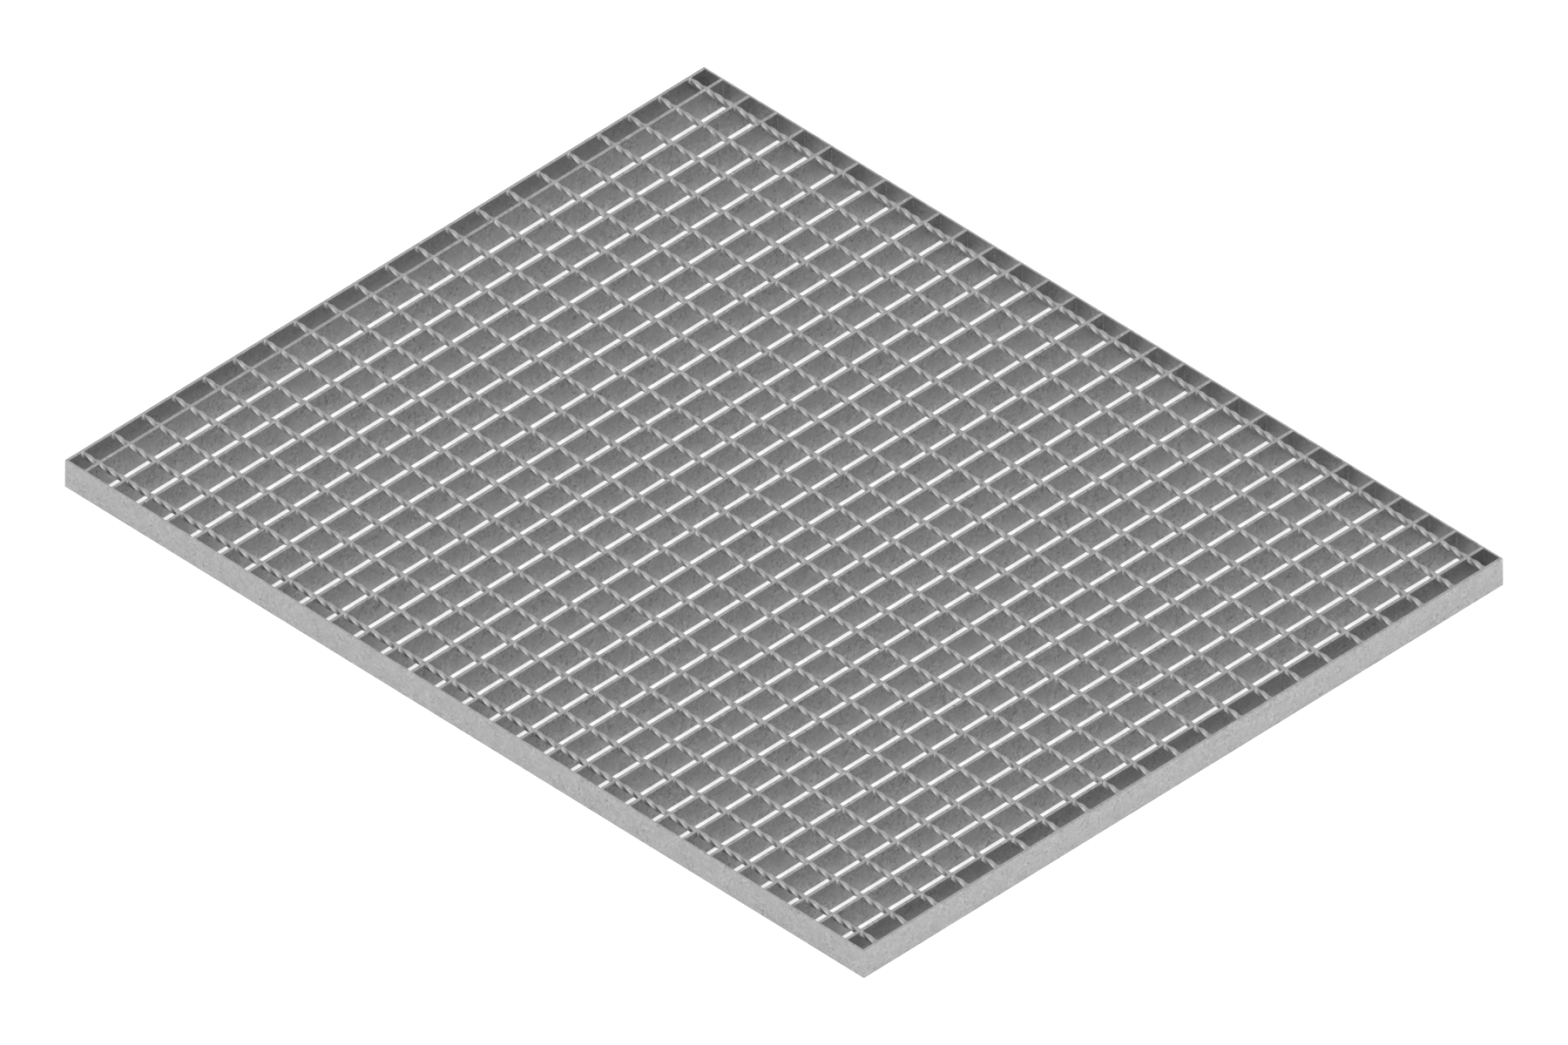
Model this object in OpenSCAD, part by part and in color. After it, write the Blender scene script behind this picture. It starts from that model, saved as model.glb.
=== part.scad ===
// Forge-welded steel grating panel: flat bearing bars on edge, square cross rods pressed
// into their tops, two side bars and two end bands. It lies on z = 0 with its centre over
// the origin, X across the bearing bars and Y along them. Sizes are in millimetres.

/* [Panel] */
// Overall length, across the bearing bars
panel_length = 1000; // [600:10:2000]
// Overall width, along the bearing bars
panel_width = 800; // [400:10:1500]
// Depth of the bearing bars, side bars and end bands
bar_depth = 30; // [20:1:60]

/* [Bearing bars] */
// Thickness of one bearing bar
bar_thickness = 3; // [2:0.5:6]
// Distance between the centres of neighbouring bearing bars
bar_pitch = 34; // [20:0.5:60]

/* [Cross rods] */
// Side of the square that each cross rod is twisted from
rod_side = 4.5; // [3:0.5:8]
// Distance between the centres of neighbouring cross rods
rod_pitch = 38; // [25:0.5:100]

/* [Edge] */
// Thickness of the side bars, which run beside the bearing bars
side_bar_thickness = 3; // [2:0.5:6]
// Thickness of the end bands, which close the bearing bars' ends
end_band_thickness = 2; // [2:0.5:6]

/* [Hidden] */

// Clear space inside the edge bars
inner_length = panel_length - 2 * side_bar_thickness;
inner_width = panel_width - 2 * end_band_thickness;

// As many bars and rods as fit best, centred in the clear space
bar_count = round(inner_length / bar_pitch);
rod_count = round(inner_width / rod_pitch);

// The grid is divided midway between two bearing bars, into fields of about the same size
field_count = 3;

// A twisted square fills a circle through its corners, and that circle's top is flush with
// the bars. The rod stands here as an octagon with the area of the square.
rod_sides = 8;
rod_reach = rod_side / sqrt(2);
rod_radius = rod_side * sqrt(2 / (rod_sides * sin(360 / rod_sides)));
rod_height = bar_depth - rod_reach;

// Centre of a bearing bar along X, and of a cross rod along Y
function bar_x(i) = (i - (bar_count - 1) / 2) * bar_pitch;
function rod_y(i) = (i - (rod_count - 1) / 2) * rod_pitch;

// First bearing bar of a field; the number past the last field gives bar_count
function first_bar(field) = round(field * bar_count / field_count);

// Where a field begins along X: at a side bar, or midway between two bearing bars
function field_start(field) =
    field == 0 ? -inner_length / 2
    : field == field_count ? inner_length / 2
    : bar_x(first_bar(field)) - bar_pitch / 2;

// Flat bar standing on edge on z = 0, centred on the origin, with its length along Y
module flat_bar(length, thickness) {
    translate([-thickness / 2, -length / 2, 0])
        cube([thickness, length, bar_depth]);
}

// Cross rod from one X to another, along Y = 0
module cross_rod(from_x, to_x) {
    translate([from_x, 0, rod_height])
        rotate([0, 90, 0])
            rotate([0, 0, 180 / rod_sides])
                cylinder(r = rod_radius, h = to_x - from_x, $fn = rod_sides);
}

// One field of the grid: its bearing bars and its stretch of every cross rod, fused
module grid_field(field) {
    color("darkgray")
        union() {
            for (i = [first_bar(field) : first_bar(field + 1) - 1])
                translate([bar_x(i), 0, 0])
                    flat_bar(inner_width, bar_thickness);
            for (i = [0 : rod_count - 1])
                translate([0, rod_y(i), 0])
                    cross_rod(field_start(field), field_start(field + 1));
        }
}

// Side bar between the end bands: side is -1 for the left one and 1 for the right one
module side_bar(side) {
    color("silver")
        translate([side * (panel_length - side_bar_thickness) / 2, 0, 0])
            flat_bar(inner_width, side_bar_thickness);
}

// End band over the full length: side is -1 for the front one and 1 for the back one
module end_band(side) {
    color("silver")
        translate([0, side * (panel_width - end_band_thickness) / 2, 0])
            rotate([0, 0, 90])
                flat_bar(panel_length, end_band_thickness);
}

grid_field(0);  // grid_left
grid_field(1);  // grid_middle
grid_field(2);  // grid_right
side_bar(-1);  // side_bar_left
side_bar(1);  // side_bar_right
end_band(-1);  // end_band_front
end_band(1);  // end_band_back
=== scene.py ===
"""Forge-welded steel grating panel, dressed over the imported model. Lengths are in metres."""
import math

import bpy
import numpy as np
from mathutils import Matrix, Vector

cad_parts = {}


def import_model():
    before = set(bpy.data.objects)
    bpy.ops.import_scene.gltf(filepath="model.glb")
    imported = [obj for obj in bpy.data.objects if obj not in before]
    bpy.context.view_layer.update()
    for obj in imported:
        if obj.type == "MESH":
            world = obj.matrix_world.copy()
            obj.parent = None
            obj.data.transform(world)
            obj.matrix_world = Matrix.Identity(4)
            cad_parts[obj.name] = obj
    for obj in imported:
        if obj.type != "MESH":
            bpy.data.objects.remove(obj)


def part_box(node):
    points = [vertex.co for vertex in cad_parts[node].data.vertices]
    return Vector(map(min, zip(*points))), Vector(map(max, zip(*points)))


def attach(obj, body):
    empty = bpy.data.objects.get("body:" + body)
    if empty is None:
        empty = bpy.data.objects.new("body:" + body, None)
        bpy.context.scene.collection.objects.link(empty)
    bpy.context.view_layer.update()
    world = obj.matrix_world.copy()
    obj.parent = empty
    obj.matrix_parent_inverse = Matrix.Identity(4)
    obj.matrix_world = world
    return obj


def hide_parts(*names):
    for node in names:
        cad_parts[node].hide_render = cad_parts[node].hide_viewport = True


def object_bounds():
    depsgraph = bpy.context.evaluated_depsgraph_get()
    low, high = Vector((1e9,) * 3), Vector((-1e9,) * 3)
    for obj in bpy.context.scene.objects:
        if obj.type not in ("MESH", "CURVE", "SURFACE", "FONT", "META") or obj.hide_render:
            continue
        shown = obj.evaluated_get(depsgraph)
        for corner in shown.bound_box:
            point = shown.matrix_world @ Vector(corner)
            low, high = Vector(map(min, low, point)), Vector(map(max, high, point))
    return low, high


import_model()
CAD_LOW, CAD_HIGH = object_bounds()

MM = 0.001
GRID_NODES = ("grid_left", "grid_middle", "grid_right")

# Bars and rods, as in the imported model
BAR_THICKNESS = 3 * MM
BAR_PITCH = 34 * MM
ROD_SIDE = 4.5 * MM
ROD_PITCH = 38 * MM

# Zinc on each face of the bearing bars and the rods, and how far the rods run into the side
# bars
BAR_ZINC = 0.1 * MM
ROD_ZINC = 0.1 * MM
ROD_SEAT = 1 * MM

# Radii of the bars' edges and of the rods' corners, and the steps that round them
BAR_EDGE, BAR_EDGE_STEPS = 0.15 * MM, 3
ROD_EDGE, ROD_EDGE_STEPS = 0.5 * MM, 2

# Twist of the rods: one right-handed turn in this length, all rods in step
TWIST_LENGTH = 55 * MM
TWIST_START = math.radians(-29)
TWIST_STEPS = 20

# Forge welds: reach off a bar's face, and radius there, of the metal upset around a rod
WELD_COLLAR = ((0, 3.05 * MM), (0.5 * MM, 2.6 * MM), (1.3 * MM, 2.2 * MM))
WELD_SIDES = 12

# Fillet welds from the bars' ends to the end bands: their leg, how far they stop short of the
# bars' edges, and a bead's corners and normals, off the bar's face and off the band's. The
# corners are in legs, and those below 0 lie inside the steel.
END_WELD_LEG = 0.35 * MM
END_WELD_GAP = 0.6 * MM
END_WELD_CORNERS = ((-0.4, -0.4), (1.4, -0.4), (0.55, 0.55), (-0.4, 1.4))
END_WELD_NORMALS = ((-3, -3), (0.3, 1), (0.7, 0.7), (1, 0.3))

# Zinc: scale of each pattern to the metre, and its shade as a share of the brightness. The
# specks are the darkest part of the grain, and smooth and grainy stretches take turns.
CLOUD_SCALE, CLOUD_SHADE = 95, 0.055
CRYSTAL_SCALE, CRYSTAL_SHADE = 260, 0.08
GRAIN_SCALE, GRAIN_SHADE, SPECK_SHADE = 400, 0.16, 0.14
STRETCH_SCALE, SMOOTH_GRAIN, ROUGH_GRAIN = 60, 0.45, 1.3
# How high the painted light from below reaches, how much the tone changes roughness, and the fine
# relief
PAINTED_LIGHT_HEIGHT = 14 * MM
ROUGHNESS_SPREAD = 0.07
RELIEF_STRENGTH, RELIEF_HEIGHT = 0.6, 0.05 * MM

# Studio light: the sky's strength, and soft patches of it that are brighter or dimmer, each
# with its azimuth from +X and its elevation in degrees, and what it adds at its middle. A
# patch has faded out where the cosine of the angle off its middle is down to its edge's.
SKY_LIGHT = 0.97
SKY_PATCHES = ((315, 62, 2.36), (22, 14, 1.5), (15, 62, -0.5), (75, 62, -0.5),
               (90, 38, -0.42), (158, 14, -0.39), (202, 14, -0.5))
PATCH_EDGE = 0.84

# The floor: its own shade, the white that it adds for the camera, and for gloss and glass,
# and how far it reaches each way
FLOOR_SHADE, FLOOR_GLOW, FLOOR_GLOSS = 0.9, 0.41, 0.02
FLOOR_REACH = 30.0

# Parallel view: azimuth and elevation in degrees, how far off the camera stands, how far it
# sees, and the width of the view
VIEW_AZIMUTH, VIEW_ELEVATION = -45, 38
VIEW_DISTANCE, VIEW_END = 3, 100
VIEW_WIDTH = 1.3876

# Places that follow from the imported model
DEPTH = CAD_HIGH.z
FRONT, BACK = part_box("end_band_front"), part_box("end_band_back")
LEFT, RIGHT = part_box("side_bar_left"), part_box("side_bar_right")
INNER_X = (LEFT[1].x, RIGHT[0].x)
INNER_Y = (FRONT[1].y, BACK[0].y)
# From a bar's middle out to its zinc
BAR_HALF = BAR_THICKNESS / 2 + BAR_ZINC
# The rounded corners of the rods come up flush with the bars' tops
ROD_REACH = (ROD_SIDE / 2 + ROD_ZINC - ROD_EDGE) * math.sqrt(2) + ROD_EDGE
ROD_HEIGHT = DEPTH - ROD_REACH


def centres(span, pitch):
    """Centres of the bars or rods that fit in a span, centred on the panel."""
    count = round((span[1] - span[0]) / pitch)
    return [(i - (count - 1) / 2) * pitch for i in range(count)]


BAR_X = centres(INNER_X, BAR_PITCH)
ROD_Y = centres(INNER_Y, ROD_PITCH)


# Meshes -------------------------------------------------------------------------------

class Shell:
    """Collects vertices with their normals, and faces, of one joined mesh."""

    def __init__(self):
        self.points, self.normals, self.faces, self.count = [], [], [], 0

    def add(self, points, normals, faces):
        self.points.append(np.asarray(points, dtype=float))
        self.normals.append(np.asarray(normals, dtype=float))
        self.faces.append(np.asarray(faces, dtype=int) + self.count)
        self.count += len(points)

    def piece(self, name, material, slot):
        points = np.concatenate(self.points)
        normals = np.concatenate(self.normals)
        faces = np.concatenate(self.faces)
        # Each quad is turned so that its front faces the way its normals point
        a, b, c, d = (points[faces[:, i]] for i in range(4))
        front = np.einsum("ij,ij->i", np.cross(c - a, d - b), normals[faces].sum(axis=1))
        faces[front < 0] = faces[front < 0][:, ::-1]
        mesh = bpy.data.meshes.new(name)
        mesh.from_pydata(points.tolist(), [], faces.tolist())
        mesh.update()
        mesh.shade_smooth()
        normals /= np.linalg.norm(normals, axis=1)[:, None]
        mesh.normals_split_custom_set_from_vertices(normals.tolist())
        mesh.materials.append(material)
        made = bpy.data.objects.new(name, mesh)
        bpy.context.scene.collection.objects.link(made)
        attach(made, "root")
        return made


def rounded_section(width, height, radius, steps):
    """Outline of a rounded rectangle about the origin, anticlockwise, with its normals."""
    points, normals = [], []
    for quarter in range(4):
        cx = (width / 2 - radius) * (1, -1, -1, 1)[quarter]
        cy = (height / 2 - radius) * (1, 1, -1, -1)[quarter]
        for step in range(steps + 1):
            a = math.pi / 2 * (quarter + step / steps)
            normal = (math.cos(a), math.sin(a))
            normals.append(normal)
            points.append((cx + radius * normal[0], cy + radius * normal[1]))
    return np.array(points), np.array(normals)


def tube_faces(rings, sides):
    """Quads between neighbouring rings of a tube."""
    r = np.arange(rings - 1)[:, None] * sides
    a = np.arange(sides)[None, :]
    b = (a + 1) % sides
    quads = np.stack([r + a, r + b, r + sides + b, r + sides + a], axis=-1)
    return quads.reshape(-1, 4)


def add_tube(shell, rings, normals):
    """Tube through rings of points, with normals; rings has the shape (ring, side, 3)."""
    count, sides = rings.shape[:2]
    shell.add(rings.reshape(-1, 3), normals.reshape(-1, 3), tube_faces(count, sides))


def add_cap(shell, ring, normal):
    """Flat end over one ring, as quads across it, facing the given way."""
    last = len(ring) - 1
    faces = [[i, i + 1, last - 1 - i, last - i] for i in range(len(ring) // 2 - 1)]
    shell.add(ring, np.tile(normal, (len(ring), 1)), faces)


def add_flat_bar(shell, low, high, along):
    """Flat bar with rolled edges that fills the box from low to high, along axis 0 or 1."""
    low, high = np.array(low), np.array(high)
    across = 1 - along
    size, middle = high - low, (low + high) / 2
    outline, outward = rounded_section(size[across], size[2], BAR_EDGE, BAR_EDGE_STEPS)
    rings = np.zeros((2, len(outline), 3))
    normals = np.zeros_like(rings)
    rings[:, :, along] = [[low[along]], [high[along]]]
    rings[:, :, across] = middle[across] + outline[:, 0]
    rings[:, :, 2] = middle[2] + outline[:, 1]
    normals[:, :, across] = outward[:, 0]
    normals[:, :, 2] = outward[:, 1]
    add_tube(shell, rings, normals)
    for ring, way in ((0, -1), (1, 1)):
        add_cap(shell, rings[ring], way * np.eye(3)[along])


def bearing_bars(material):
    """The flat bars on edge between the end bands."""
    shell = Shell()
    for x in BAR_X:
        add_flat_bar(shell, (x - BAR_HALF, INNER_Y[0], 0), (x + BAR_HALF, INNER_Y[1], DEPTH), 1)
    piece = shell.piece("bearing_bars", material, "grid_steel")
    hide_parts(*GRID_NODES)


def cross_rods(material):
    """Square rods, truly twisted, let in flush with the bars' tops."""
    shell = Shell()
    side = ROD_SIDE + 2 * ROD_ZINC
    outline, outward = rounded_section(side, side, ROD_EDGE, ROD_EDGE_STEPS)
    start, end = INNER_X[0] - ROD_SEAT, INNER_X[1] + ROD_SEAT
    x = np.linspace(start, end, round((end - start) / TWIST_LENGTH * TWIST_STEPS) + 1)
    a = TWIST_START + 2 * math.pi * x / TWIST_LENGTH
    cos, sin = np.cos(a)[:, None], np.sin(a)[:, None]
    rings = np.zeros((len(x), len(outline), 3))
    rings[:, :, 0] = x[:, None]
    rings[:, :, 1] = outline[:, 0] * cos - outline[:, 1] * sin
    rings[:, :, 2] = outline[:, 0] * sin + outline[:, 1] * cos
    normals = np.zeros_like(rings)
    normals[:, :, 1] = outward[:, 0] * cos - outward[:, 1] * sin
    normals[:, :, 2] = outward[:, 0] * sin + outward[:, 1] * cos
    # The turning section tilts its normals along the rod
    swept = outline[:, 0] * outward[:, 1] - outline[:, 1] * outward[:, 0]
    normals[:, :, 0] = -swept * 2 * math.pi / TWIST_LENGTH
    for y in ROD_Y:
        placed = rings + np.array([0, y, ROD_HEIGHT])
        add_tube(shell, placed, normals)
        for ring, way in ((0, -1), (-1, 1)):
            add_cap(shell, placed[ring], (way, 0, 0))
    piece = shell.piece("cross_rods", material, "grid_steel")
    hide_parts(*GRID_NODES)


def forge_welds(material):
    """Small collars of upset metal where the rods pass into the bars."""
    shell = Shell()
    a = np.arange(WELD_SIDES) * 2 * math.pi / WELD_SIDES
    around = np.stack([np.zeros_like(a), np.cos(a), np.sin(a)], axis=1)
    side_bars = ((LEFT[0].x + LEFT[1].x) / 2, (RIGHT[0].x + RIGHT[1].x) / 2)
    for x in (side_bars[0], *BAR_X, side_bars[1]):
        inward = [(BAR_HALF + off, radius) for off, radius in WELD_COLLAR]
        profile = [(0, WELD_COLLAR[0][1])] + inward
        if x not in side_bars:
            profile = [(-off, radius) for off, radius in reversed(inward)] + inward
        way = -1 if x == side_bars[1] else 1
        off, radius = np.array(profile).T
        lean = -np.gradient(radius, off)
        lean[[0, -1]] = lean[[1, -2]]
        for y in ROD_Y:
            rings = np.zeros((len(profile), WELD_SIDES, 3))
            rings[:] = around * radius[:, None, None]
            rings[:, :, 0] = (x + way * off)[:, None]
            rings += np.array([0, y, ROD_HEIGHT])
            normals = np.repeat(around[None], len(profile), axis=0)
            normals[:, :, 0] = (way * lean)[:, None]
            add_tube(shell, rings, normals)
            for ring, outward in ((0, -way), (-1, way)):
                add_cap(shell, rings[ring], (outward, 0, 0))
    piece = shell.piece("forge_welds", material, "grid_steel")
    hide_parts(*GRID_NODES)


def end_welds(material):
    """Thin fillet welds down both sides of each bar's ends, to the end bands."""
    shell = Shell()
    for x in BAR_X:
        for side in (-1, 1):
            for end, y in ((-1, INNER_Y[0]), (1, INNER_Y[1])):
                face = x + side * BAR_HALF
                ring = [(face + side * u * END_WELD_LEG, y - end * v * END_WELD_LEG)
                        for u, v in END_WELD_CORNERS]
                rings = np.array([[(*corner, level) for corner in ring]
                                  for level in (END_WELD_GAP, DEPTH - END_WELD_GAP)])
                facing = np.array([(side * u, -end * v, 0) for u, v in END_WELD_NORMALS])
                add_tube(shell, rings, np.stack([facing, facing]))
                for level, way in ((0, -1), (1, 1)):
                    add_cap(shell, rings[level], (0, 0, way))
    piece = shell.piece("end_welds", material, "grid_steel")
    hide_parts(*GRID_NODES)


def edge_bars(material):
    """Side bars and end bands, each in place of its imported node."""
    for node, along in (("side_bar_left", 1), ("side_bar_right", 1),
                        ("end_band_front", 0), ("end_band_back", 0)):
        shell = Shell()
        low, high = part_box(node)
        add_flat_bar(shell, low, high, along)
        piece = shell.piece(node + "_steel", material, "edge_steel")
        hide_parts(node)


# Materials ----------------------------------------------------------------------------

class Nodes:
    """Short way to build one node tree."""

    def __init__(self, tree):
        self.tree = tree

    def add(self, kind, inputs=(), **settings):
        node = self.tree.nodes.new("ShaderNode" + kind)
        for name, value in settings.items():
            setattr(node, name, value)
        for socket, value in dict(inputs).items():
            if isinstance(value, bpy.types.NodeSocket):
                self.tree.links.new(value, node.inputs[socket])
            else:
                node.inputs[socket].default_value = value
        return node

    def link(self, source, node, socket):
        self.tree.links.new(source, node.inputs[socket])

    def math(self, operation, *values):
        return self.add("Math", dict(enumerate(values)), operation=operation).outputs[0]

    def spread(self, value, low, high, out_low, out_high):
        """Carries a value from one range over to another, and holds it there."""
        return self.add("MapRange", {"Value": value, "From Min": low, "From Max": high,
                                     "To Min": out_low, "To Max": out_high}).outputs[0]


def galvanised_steel(name, brightness, roughness, painted_foot_light, grainy):
    """Dull hot-dip zinc: soft clouds, faint crystals, fine grain and small dark specks.

    The clouds, crystals and grain run from -1 to 1. The number after the roughness is how much
    lighter the zinc is painted toward its lower edge, a painted light from below, and grainy
    how strongly its grain shows.
    """
    material = bpy.data.materials.new(name)
    material.use_nodes = True
    n = Nodes(material.node_tree)
    shader = n.tree.nodes["Principled BSDF"]
    place = n.add("TexCoord").outputs["Object"]
    cloud = n.add("TexNoise", {"Vector": place, "Scale": CLOUD_SCALE, "Detail": 4,
                               "Roughness": 0.62, "Distortion": 0.7}).outputs["Fac"]
    cloud = n.spread(cloud, 0.3, 0.7, -1, 1)
    crystals = n.add("TexVoronoi", {"Vector": place, "Scale": CRYSTAL_SCALE}).outputs["Color"]
    crystal = n.add("SeparateColor", {"Color": crystals}).outputs["Red"]
    crystal = n.spread(crystal, 0, 1, -1, 1)
    grain = n.add("TexNoise", {"Vector": place, "Scale": GRAIN_SCALE, "Detail": 4,
                               "Roughness": 0.6, "Distortion": 0.4}).outputs["Fac"]
    speck = n.spread(grain, 0.34, 0.44, 1, 0)
    fine = n.spread(grain, 0.3, 0.7, -1, 1)
    # Some stretches of the zinc are smooth, and others grainy
    patchy = n.add("TexNoise", {"Vector": place, "Scale": STRETCH_SCALE, "Detail": 2})
    patchy = n.spread(patchy.outputs["Fac"], 0.4, 0.6, SMOOTH_GRAIN * grainy, ROUGH_GRAIN * grainy)
    tone = n.math("MULTIPLY", fine, GRAIN_SHADE)
    tone = n.math("ADD", tone, n.math("MULTIPLY", speck, -SPECK_SHADE))
    tone = n.math("ADD", tone, n.math("MULTIPLY", crystal, CRYSTAL_SHADE))
    tone = n.math("MULTIPLY", tone, patchy)
    tone = n.math("ADD", tone, n.math("MULTIPLY", cloud, CLOUD_SHADE))
    # Painted light: the zinc is painted lighter toward its lower edge, standing in for light from
    # below
    height = n.add("SeparateXYZ", {0: place}).outputs["Z"]
    tone = n.math("ADD", tone, n.spread(height, 0, PAINTED_LIGHT_HEIGHT, painted_foot_light, 0))
    grey = n.math("MULTIPLY", n.math("ADD", tone, 1), brightness)
    colour = n.add("CombineColor", {"Red": grey, "Green": grey, "Blue": grey})
    n.link(colour.outputs[0], shader, "Base Color")
    # Where the zinc is darker it is also duller
    dull, smooth = roughness + ROUGHNESS_SPREAD, roughness - ROUGHNESS_SPREAD
    n.link(n.spread(tone, -0.3, 0.3, dull, smooth), shader, "Roughness")
    relief = n.math("ADD", n.math("MULTIPLY", cloud, 0.5), n.math("MULTIPLY", fine, 0.5))
    bump = n.add("Bump", {"Strength": RELIEF_STRENGTH, "Distance": RELIEF_HEIGHT,
                          "Height": relief})
    n.link(bump.outputs["Normal"], shader, "Normal")
    shader.inputs["Metallic"].default_value = 1.0
    shader.distribution = "MULTI_GGX"
    return material


# Stage --------------------------------------------------------------------------------

def direction(azimuth, elevation):
    """Unit vector toward an azimuth from +X and an elevation, in degrees."""
    a, e = math.radians(azimuth), math.radians(elevation)
    return Vector((math.cos(a) * math.cos(e), math.sin(a) * math.cos(e), math.sin(e)))


def floor():
    """Pale floor, white to the camera, that keeps the panel's shadow between its bars."""
    material = bpy.data.materials.new("floor")
    material.use_nodes = True
    material.cycles.emission_sampling = "NONE"
    n = Nodes(material.node_tree)
    n.tree.nodes.remove(n.tree.nodes["Principled BSDF"])
    path = n.add("LightPath").outputs
    gloss = n.math("MAXIMUM", path["Is Glossy Ray"], path["Is Transmission Ray"])
    glow = n.math("ADD", n.math("MULTIPLY", path["Is Camera Ray"], FLOOR_GLOW),
                  n.math("MULTIPLY", gloss, FLOOR_GLOSS))
    white = n.add("Emission", {"Color": (1, 1, 1, 1), "Strength": glow})
    diffuse = n.add("BsdfDiffuse", {"Color": (FLOOR_SHADE, FLOOR_SHADE, FLOOR_SHADE, 1)})
    both = n.add("AddShader", {0: diffuse.outputs[0], 1: white.outputs[0]})
    n.link(both.outputs[0], n.tree.nodes["Material Output"], "Surface")
    mesh = bpy.data.meshes.new("floor")
    corners = [(x * FLOOR_REACH, y * FLOOR_REACH, 0)
               for x, y in ((-1, -1), (1, -1), (1, 1), (-1, 1))]
    mesh.from_pydata(corners, [], [(0, 1, 2, 3)])
    mesh.materials.append(material)
    made = bpy.data.objects.new("floor", mesh)
    bpy.context.scene.collection.objects.link(made)


def world():
    """Soft studio sky with its patches, white to the camera. The key is high behind it."""
    made = bpy.data.worlds.new("studio")
    made.use_nodes = True
    n = Nodes(made.node_tree)
    back = n.tree.nodes["Background"]
    back.inputs["Color"].default_value = (1, 1, 1, 1)
    way = n.add("TexCoord").outputs["Generated"]
    light = SKY_LIGHT
    for azimuth, elevation, added in SKY_PATCHES:
        near = n.add("VectorMath", {0: way, 1: direction(azimuth, elevation)},
                     operation="DOT_PRODUCT").outputs["Value"]
        patch = n.add("MapRange", {"Value": near, "From Min": PATCH_EDGE, "To Max": added},
                      interpolation_type="SMOOTHSTEP").outputs[0]
        light = n.math("ADD", light, patch)
    seen = n.add("LightPath").outputs["Is Camera Ray"]
    strength = n.add("Mix", {"Factor": seen, "A": light, "B": 1.0})
    n.link(strength.outputs[0], back, "Strength")
    bpy.context.scene.world = made


def camera():
    """Parallel view down on the panel from its front right corner."""
    data = bpy.data.cameras.new("camera")
    data.type = "ORTHO"
    data.ortho_scale = VIEW_WIDTH
    data.clip_end = VIEW_END
    made = bpy.data.objects.new("camera", data)
    bpy.context.scene.collection.objects.link(made)
    back = direction(VIEW_AZIMUTH, VIEW_ELEVATION)
    made.location = (CAD_LOW + CAD_HIGH) / 2 + back * VIEW_DISTANCE
    made.rotation_euler = (-back).to_track_quat("-Z", "Y").to_euler()
    bpy.context.scene.camera = made


camera()
world()
floor()
# The rods' and edge bars' zinc is painted lighter than the bearing bars', as lit copies of one
# zinc: painted light for the brighter light on them
bar_zinc = galvanised_steel("bar_zinc", brightness=0.455, roughness=0.45, painted_foot_light=0.08, grainy=1.1)
rod_zinc = galvanised_steel("rod_zinc", brightness=0.49, roughness=0.52, painted_foot_light=0, grainy=0.6)
edge_zinc = galvanised_steel("edge_zinc", brightness=0.48, roughness=0.45, painted_foot_light=0, grainy=0.9)
bearing_bars(bar_zinc)
cross_rods(rod_zinc)
forge_welds(rod_zinc)
end_welds(bar_zinc)
edge_bars(edge_zinc)

bpy.context.scene.view_settings.view_transform = "Standard"
